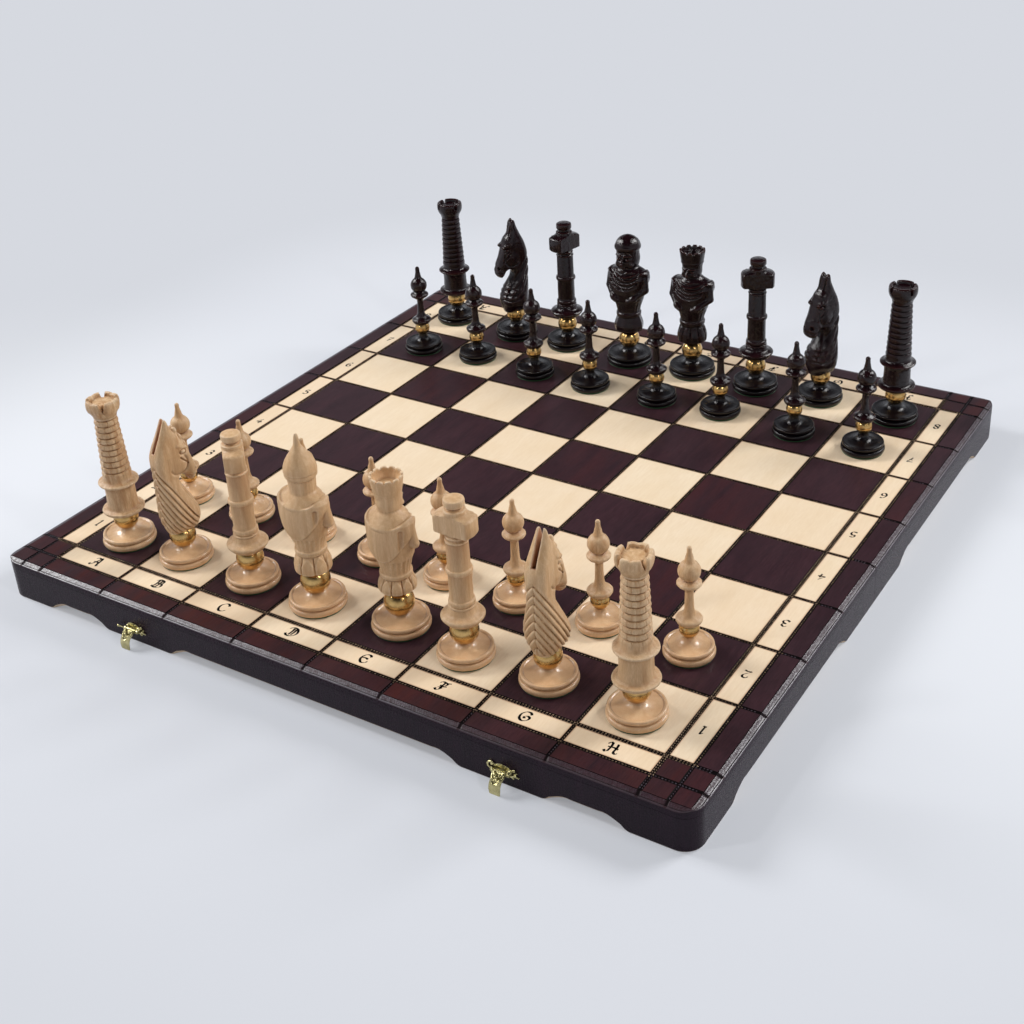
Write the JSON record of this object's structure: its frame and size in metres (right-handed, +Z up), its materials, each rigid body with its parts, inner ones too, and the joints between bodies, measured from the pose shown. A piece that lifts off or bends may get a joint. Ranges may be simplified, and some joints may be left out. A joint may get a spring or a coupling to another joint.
{
  "type": "chess set with board",
  "caption": "Hinged wooden chess box laid open as a checkered board with letters and figures, carved pale and dark men with brass collars standing ready.",
  "frame": {"origin": "under the middle of the fold, on the surface that the open board rests on", "axes": "+X along the ranks from the a file to the h file, +Y along the files from the first rank to the eighth, +Z up"},
  "size_m": [0.65, 0.6641, 0.1904],
  "materials": {
    "board_top": "stained checkered top with burned lines, satin lacquer",
    "stained_wood": "near black stain, satin lacquer, arches left raw",
    "felt": "green felt",
    "raw_wood": "unfinished beech",
    "brass": "aged brass",
    "pale_wood": "natural wood, brass collar and green felt foot",
    "dark_wood": "dark stained wood, brass collar and green felt foot"
  },
  "bodies": {
    "rear_half": {"rear_panel": "board_top", "rear_rail": "stained_wood", "rear_left_rail": "stained_wood", "rear_right_rail": "stained_wood", "rear_fold_rail": "stained_wood", "rear_lining": "felt", "rear_dividers": "raw_wood", "rear_hinge_leaves": "brass", "rear_hinge_screws": "brass", "hinge_pins": "brass", "latch_catches": "brass", "catch_nails": "brass"},
    "front_half": {"front_panel": "board_top", "front_rail": "stained_wood", "front_left_rail": "stained_wood", "front_right_rail": "stained_wood", "front_fold_rail": "stained_wood", "front_lining": "felt", "front_dividers": "raw_wood", "front_hinge_leaves": "brass", "front_hinge_screws": "brass", "latch_plates": "brass", "latch_nails": "brass", "hasp_pins": "brass"},
    "left_hasp": {"left_hasp": "brass"},
    "right_hasp": {"right_hasp": "brass"},
    "white_rook_a1": {"white_rook_a1": "pale_wood"},
    "white_knight_b1": {"white_knight_b1": "pale_wood"},
    "white_bishop_c1": {"white_bishop_c1": "pale_wood"},
    "white_king_d1": {"white_king_d1": "pale_wood"},
    "white_queen_e1": {"white_queen_e1": "pale_wood"},
    "white_bishop_f1": {"white_bishop_f1": "pale_wood"},
    "white_knight_g1": {"white_knight_g1": "pale_wood"},
    "white_rook_h1": {"white_rook_h1": "pale_wood"},
    "white_pawn_a2": {"white_pawn_a2": "pale_wood"},
    "white_pawn_b2": {"white_pawn_b2": "pale_wood"},
    "white_pawn_c2": {"white_pawn_c2": "pale_wood"},
    "white_pawn_d2": {"white_pawn_d2": "pale_wood"},
    "white_pawn_e2": {"white_pawn_e2": "pale_wood"},
    "white_pawn_f2": {"white_pawn_f2": "pale_wood"},
    "white_pawn_g2": {"white_pawn_g2": "pale_wood"},
    "white_pawn_h2": {"white_pawn_h2": "pale_wood"},
    "black_rook_a8": {"black_rook_a8": "dark_wood"},
    "black_knight_b8": {"black_knight_b8": "dark_wood"},
    "black_bishop_c8": {"black_bishop_c8": "dark_wood"},
    "black_king_d8": {"black_king_d8": "dark_wood"},
    "black_queen_e8": {"black_queen_e8": "dark_wood"},
    "black_bishop_f8": {"black_bishop_f8": "dark_wood"},
    "black_knight_g8": {"black_knight_g8": "dark_wood"},
    "black_rook_h8": {"black_rook_h8": "dark_wood"},
    "black_pawn_a7": {"black_pawn_a7": "dark_wood"},
    "black_pawn_b7": {"black_pawn_b7": "dark_wood"},
    "black_pawn_c7": {"black_pawn_c7": "dark_wood"},
    "black_pawn_d7": {"black_pawn_d7": "dark_wood"},
    "black_pawn_e7": {"black_pawn_e7": "dark_wood"},
    "black_pawn_f7": {"black_pawn_f7": "dark_wood"},
    "black_pawn_g7": {"black_pawn_g7": "dark_wood"},
    "black_pawn_h7": {"black_pawn_h7": "dark_wood"}
  },
  "joints": [
    {"name": "board_fold", "type": "hinge", "parent": "rear_half", "child": "front_half", "pos_m": [0, 0, 0.0013], "axis": [1, 0, 0], "range_deg": [0, 180]},
    {"name": "left_hasp_turn", "type": "hinge", "parent": "front_half", "child": "left_hasp", "pos_m": [-0.177, -0.3276, 0.01395], "axis": [1, 0, 0], "range_deg": [-80, 34]},
    {"name": "right_hasp_turn", "type": "hinge", "parent": "front_half", "child": "right_hasp", "pos_m": [0.177, -0.3276, 0.01395], "axis": [1, 0, 0], "range_deg": [-80, 34]},
    {"name": "white_rook_a1_lift", "type": "slide", "parent": "front_half", "child": "white_rook_a1", "axis": [0, 0, 1], "range_m": [0, 0.12]},
    {"name": "white_knight_b1_lift", "type": "slide", "parent": "front_half", "child": "white_knight_b1", "axis": [0, 0, 1], "range_m": [0, 0.12]},
    {"name": "white_bishop_c1_lift", "type": "slide", "parent": "front_half", "child": "white_bishop_c1", "axis": [0, 0, 1], "range_m": [0, 0.12]},
    {"name": "white_king_d1_lift", "type": "slide", "parent": "front_half", "child": "white_king_d1", "axis": [0, 0, 1], "range_m": [0, 0.12]},
    {"name": "white_queen_e1_lift", "type": "slide", "parent": "front_half", "child": "white_queen_e1", "axis": [0, 0, 1], "range_m": [0, 0.12]},
    {"name": "white_bishop_f1_lift", "type": "slide", "parent": "front_half", "child": "white_bishop_f1", "axis": [0, 0, 1], "range_m": [0, 0.12]},
    {"name": "white_knight_g1_lift", "type": "slide", "parent": "front_half", "child": "white_knight_g1", "axis": [0, 0, 1], "range_m": [0, 0.12]},
    {"name": "white_rook_h1_lift", "type": "slide", "parent": "front_half", "child": "white_rook_h1", "axis": [0, 0, 1], "range_m": [0, 0.12]},
    {"name": "white_pawn_a2_lift", "type": "slide", "parent": "front_half", "child": "white_pawn_a2", "axis": [0, 0, 1], "range_m": [0, 0.12]},
    {"name": "white_pawn_b2_lift", "type": "slide", "parent": "front_half", "child": "white_pawn_b2", "axis": [0, 0, 1], "range_m": [0, 0.12]},
    {"name": "white_pawn_c2_lift", "type": "slide", "parent": "front_half", "child": "white_pawn_c2", "axis": [0, 0, 1], "range_m": [0, 0.12]},
    {"name": "white_pawn_d2_lift", "type": "slide", "parent": "front_half", "child": "white_pawn_d2", "axis": [0, 0, 1], "range_m": [0, 0.12]},
    {"name": "white_pawn_e2_lift", "type": "slide", "parent": "front_half", "child": "white_pawn_e2", "axis": [0, 0, 1], "range_m": [0, 0.12]},
    {"name": "white_pawn_f2_lift", "type": "slide", "parent": "front_half", "child": "white_pawn_f2", "axis": [0, 0, 1], "range_m": [0, 0.12]},
    {"name": "white_pawn_g2_lift", "type": "slide", "parent": "front_half", "child": "white_pawn_g2", "axis": [0, 0, 1], "range_m": [0, 0.12]},
    {"name": "white_pawn_h2_lift", "type": "slide", "parent": "front_half", "child": "white_pawn_h2", "axis": [0, 0, 1], "range_m": [0, 0.12]},
    {"name": "black_rook_a8_lift", "type": "slide", "parent": "rear_half", "child": "black_rook_a8", "axis": [0, 0, 1], "range_m": [0, 0.12]},
    {"name": "black_knight_b8_lift", "type": "slide", "parent": "rear_half", "child": "black_knight_b8", "axis": [0, 0, 1], "range_m": [0, 0.12]},
    {"name": "black_bishop_c8_lift", "type": "slide", "parent": "rear_half", "child": "black_bishop_c8", "axis": [0, 0, 1], "range_m": [0, 0.12]},
    {"name": "black_king_d8_lift", "type": "slide", "parent": "rear_half", "child": "black_king_d8", "axis": [0, 0, 1], "range_m": [0, 0.12]},
    {"name": "black_queen_e8_lift", "type": "slide", "parent": "rear_half", "child": "black_queen_e8", "axis": [0, 0, 1], "range_m": [0, 0.12]},
    {"name": "black_bishop_f8_lift", "type": "slide", "parent": "rear_half", "child": "black_bishop_f8", "axis": [0, 0, 1], "range_m": [0, 0.12]},
    {"name": "black_knight_g8_lift", "type": "slide", "parent": "rear_half", "child": "black_knight_g8", "axis": [0, 0, 1], "range_m": [0, 0.12]},
    {"name": "black_rook_h8_lift", "type": "slide", "parent": "rear_half", "child": "black_rook_h8", "axis": [0, 0, 1], "range_m": [0, 0.12]},
    {"name": "black_pawn_a7_lift", "type": "slide", "parent": "rear_half", "child": "black_pawn_a7", "axis": [0, 0, 1], "range_m": [0, 0.12]},
    {"name": "black_pawn_b7_lift", "type": "slide", "parent": "rear_half", "child": "black_pawn_b7", "axis": [0, 0, 1], "range_m": [0, 0.12]},
    {"name": "black_pawn_c7_lift", "type": "slide", "parent": "rear_half", "child": "black_pawn_c7", "axis": [0, 0, 1], "range_m": [0, 0.12]},
    {"name": "black_pawn_d7_lift", "type": "slide", "parent": "rear_half", "child": "black_pawn_d7", "axis": [0, 0, 1], "range_m": [0, 0.12]},
    {"name": "black_pawn_e7_lift", "type": "slide", "parent": "rear_half", "child": "black_pawn_e7", "axis": [0, 0, 1], "range_m": [0, 0.12]},
    {"name": "black_pawn_f7_lift", "type": "slide", "parent": "rear_half", "child": "black_pawn_f7", "axis": [0, 0, 1], "range_m": [0, 0.12]},
    {"name": "black_pawn_g7_lift", "type": "slide", "parent": "rear_half", "child": "black_pawn_g7", "axis": [0, 0, 1], "range_m": [0, 0.12]},
    {"name": "black_pawn_h7_lift", "type": "slide", "parent": "rear_half", "child": "black_pawn_h7", "axis": [0, 0, 1], "range_m": [0, 0.12]}
  ]
}
